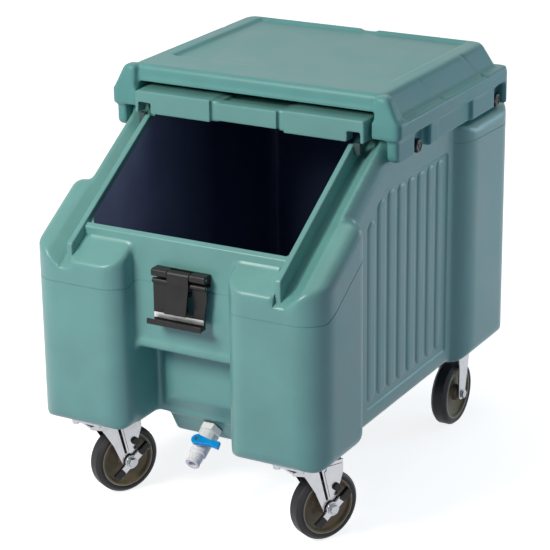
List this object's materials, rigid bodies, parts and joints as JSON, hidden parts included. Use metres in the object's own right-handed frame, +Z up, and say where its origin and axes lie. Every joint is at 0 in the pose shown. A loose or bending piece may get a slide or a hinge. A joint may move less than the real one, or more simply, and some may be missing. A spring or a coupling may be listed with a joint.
{
  "type": "mobile ice bin",
  "caption": "Foam filled moulded ice bin on casters, with a sloped mouth, a sliding lid under a bolted cover, a draw latch and a drain valve.",
  "frame": {"origin": "centre of the bounding box on the floor, under the bin", "axes": "+Z up, -Y to the sloped front with the mouth, latch and drain, +X to the right seen from behind the mouth"},
  "size_m": [0.578, 0.788, 0.743],
  "materials": {
    "body_plastic": "satin moulded",
    "cover_plastic": "satin moulded",
    "foam": "matt foam",
    "glide_plastic": "satin",
    "latch_plastic": "semi-gloss moulded",
    "knob_plastic": "satin",
    "steel": "zinc plated",
    "fork_chrome": "bright plated",
    "valve_plastic": "semi-gloss",
    "handle_plastic": "semi-gloss",
    "seal_rubber": "matt",
    "tyre": "matt",
    "rim_plastic": "satin",
    "bush_metal": "satin"
  },
  "bodies": {
    "bin": {"bin_shell": "body_plastic", "foam_core": "foam", "foam_fill_plug": "body_plastic", "top_cover": "cover_plastic", "latch_bracket": "latch_plastic", "latch_screw_left": "steel", "latch_screw_right": "steel", "latch_pivot_pin": "steel", "drain_bulkhead": "valve_plastic", "drain_gasket": "seal_rubber", "drain_nut": "valve_plastic", "valve_body": "valve_plastic", "front_left_caster_plate": "steel", "front_left_caster_bolts": "steel", "front_left_caster_king_ring": "steel", "front_right_caster_plate": "steel", "front_right_caster_bolts": "steel", "front_right_caster_king_ring": "steel", "rear_left_caster_fork": "fork_chrome", "rear_left_caster_bolts": "steel", "rear_left_caster_axle": "steel", "rear_right_caster_fork": "fork_chrome", "rear_right_caster_bolts": "steel", "rear_right_caster_axle": "steel"},
    "lid_carriage": {"lid_glide_left": "glide_plastic", "lid_glide_right": "glide_plastic"},
    "lid": {"sliding_lid": "body_plastic"},
    "latch_arm": {"latch_lever": "latch_plastic", "latch_link_pin": "steel"},
    "latch_hook_frame": {"latch_hook": "latch_plastic", "latch_strip": "steel"},
    "valve_core": {"valve_ball": "steel", "valve_handle": "handle_plastic", "valve_handle_screw": "steel"},
    "thumbscrew_front_left": {"thumbscrew_front_left": "knob_plastic"},
    "thumbscrew_front_right": {"thumbscrew_front_right": "knob_plastic"},
    "thumbscrew_rear_left": {"thumbscrew_rear_left": "knob_plastic"},
    "thumbscrew_rear_right": {"thumbscrew_rear_right": "knob_plastic"},
    "front_left_caster_swivel": {"front_left_caster_fork": "fork_chrome", "front_left_caster_axle": "steel", "front_left_caster_cap": "latch_plastic"},
    "front_left_caster_wheel": {"front_left_caster_rim": "rim_plastic", "front_left_caster_tyre": "tyre", "front_left_caster_bush": "bush_metal"},
    "front_left_caster_pedal": {"front_left_caster_brake": "fork_chrome", "front_left_caster_brake_pads": "latch_plastic"},
    "front_right_caster_swivel": {"front_right_caster_fork": "fork_chrome", "front_right_caster_axle": "steel", "front_right_caster_cap": "latch_plastic"},
    "front_right_caster_wheel": {"front_right_caster_rim": "rim_plastic", "front_right_caster_tyre": "tyre", "front_right_caster_bush": "bush_metal"},
    "front_right_caster_pedal": {"front_right_caster_brake": "fork_chrome", "front_right_caster_brake_pads": "latch_plastic"},
    "rear_left_caster_wheel": {"rear_left_caster_rim": "rim_plastic", "rear_left_caster_tyre": "tyre", "rear_left_caster_bush": "bush_metal"},
    "rear_right_caster_wheel": {"rear_right_caster_rim": "rim_plastic", "rear_right_caster_tyre": "tyre", "rear_right_caster_bush": "bush_metal"}
  },
  "joints": [
    {"name": "lid_tilt", "type": "hinge", "parent": "bin", "child": "lid_carriage", "pos_m": [0, -0.118, 0.65], "axis": [1, 0, 0], "range_deg": [0, 32.1]},
    {"name": "lid_slide", "type": "slide", "parent": "lid_carriage", "child": "lid", "axis": [0, -0.9981, -0.0619], "range_m": [0, 0.299]},
    {"name": "latch_lever_swing", "type": "hinge", "parent": "bin", "child": "latch_arm", "pos_m": [0, -0.357, 0.462], "axis": [1, 0, 0], "range_deg": [-95, 0]},
    {"name": "latch_hook_swing", "type": "hinge", "parent": "latch_arm", "child": "latch_hook_frame", "pos_m": [0, -0.357, 0.447], "axis": [-1, 0, 0], "range_deg": [0, 130]},
    {"name": "valve_turn", "type": "hinge", "parent": "bin", "child": "valve_core", "pos_m": [0, -0.30207, 0.12123], "axis": [0, 0.4983, -0.867], "range_deg": [0, 85]},
    {"name": "thumbscrew_front_left_turn", "type": "hinge", "parent": "bin", "child": "thumbscrew_front_left", "pos_m": [-0.27, -0.012, 0.637], "axis": [-1, 0, 0], "continuous": true},
    {"name": "thumbscrew_front_right_turn", "type": "hinge", "parent": "bin", "child": "thumbscrew_front_right", "pos_m": [0.27, -0.012, 0.637], "axis": [1, 0, 0], "continuous": true},
    {"name": "thumbscrew_rear_left_turn", "type": "hinge", "parent": "bin", "child": "thumbscrew_rear_left", "pos_m": [-0.27, 0.324, 0.637], "axis": [-1, 0, 0], "continuous": true},
    {"name": "thumbscrew_rear_right_turn", "type": "hinge", "parent": "bin", "child": "thumbscrew_rear_right", "pos_m": [0.27, 0.324, 0.637], "axis": [1, 0, 0], "continuous": true},
    {"name": "front_left_caster_turn", "type": "hinge", "parent": "bin", "child": "front_left_caster_swivel", "pos_m": [-0.1965, -0.3375, 0.15], "axis": [0, 0, 1], "continuous": true},
    {"name": "front_left_caster_roll", "type": "hinge", "parent": "front_left_caster_swivel", "child": "front_left_caster_wheel", "pos_m": [-0.17198, -0.28939, 0.0635], "axis": [0.891, -0.454, 0], "continuous": true},
    {"name": "front_left_caster_brake_tip", "type": "hinge", "parent": "front_left_caster_swivel", "child": "front_left_caster_pedal", "pos_m": [-0.17198, -0.28939, 0.0635], "axis": [-0.891, 0.454, 0], "range_deg": [0, 12]},
    {"name": "front_right_caster_turn", "type": "hinge", "parent": "bin", "child": "front_right_caster_swivel", "pos_m": [0.2125, -0.3375, 0.15], "axis": [0, 0, 1], "continuous": true},
    {"name": "front_right_caster_roll", "type": "hinge", "parent": "front_right_caster_swivel", "child": "front_right_caster_wheel", "pos_m": [0.23702, -0.28939, 0.0635], "axis": [0.891, -0.454, 0], "continuous": true},
    {"name": "front_right_caster_brake_tip", "type": "hinge", "parent": "front_right_caster_swivel", "child": "front_right_caster_pedal", "pos_m": [0.23702, -0.28939, 0.0635], "axis": [-0.891, 0.454, 0], "range_deg": [0, 12]},
    {"name": "rear_left_caster_roll", "type": "hinge", "parent": "bin", "child": "rear_left_caster_wheel", "pos_m": [-0.226, 0.259, 0.0635], "axis": [1, 0, 0], "continuous": true},
    {"name": "rear_right_caster_roll", "type": "hinge", "parent": "bin", "child": "rear_right_caster_wheel", "pos_m": [0.226, 0.259, 0.0635], "axis": [1, 0, 0], "continuous": true}
  ],
  "couplings": [
    {"joint": "lid_tilt", "follows": "lid_slide", "rad_per_m": 1.8737}
  ]
}
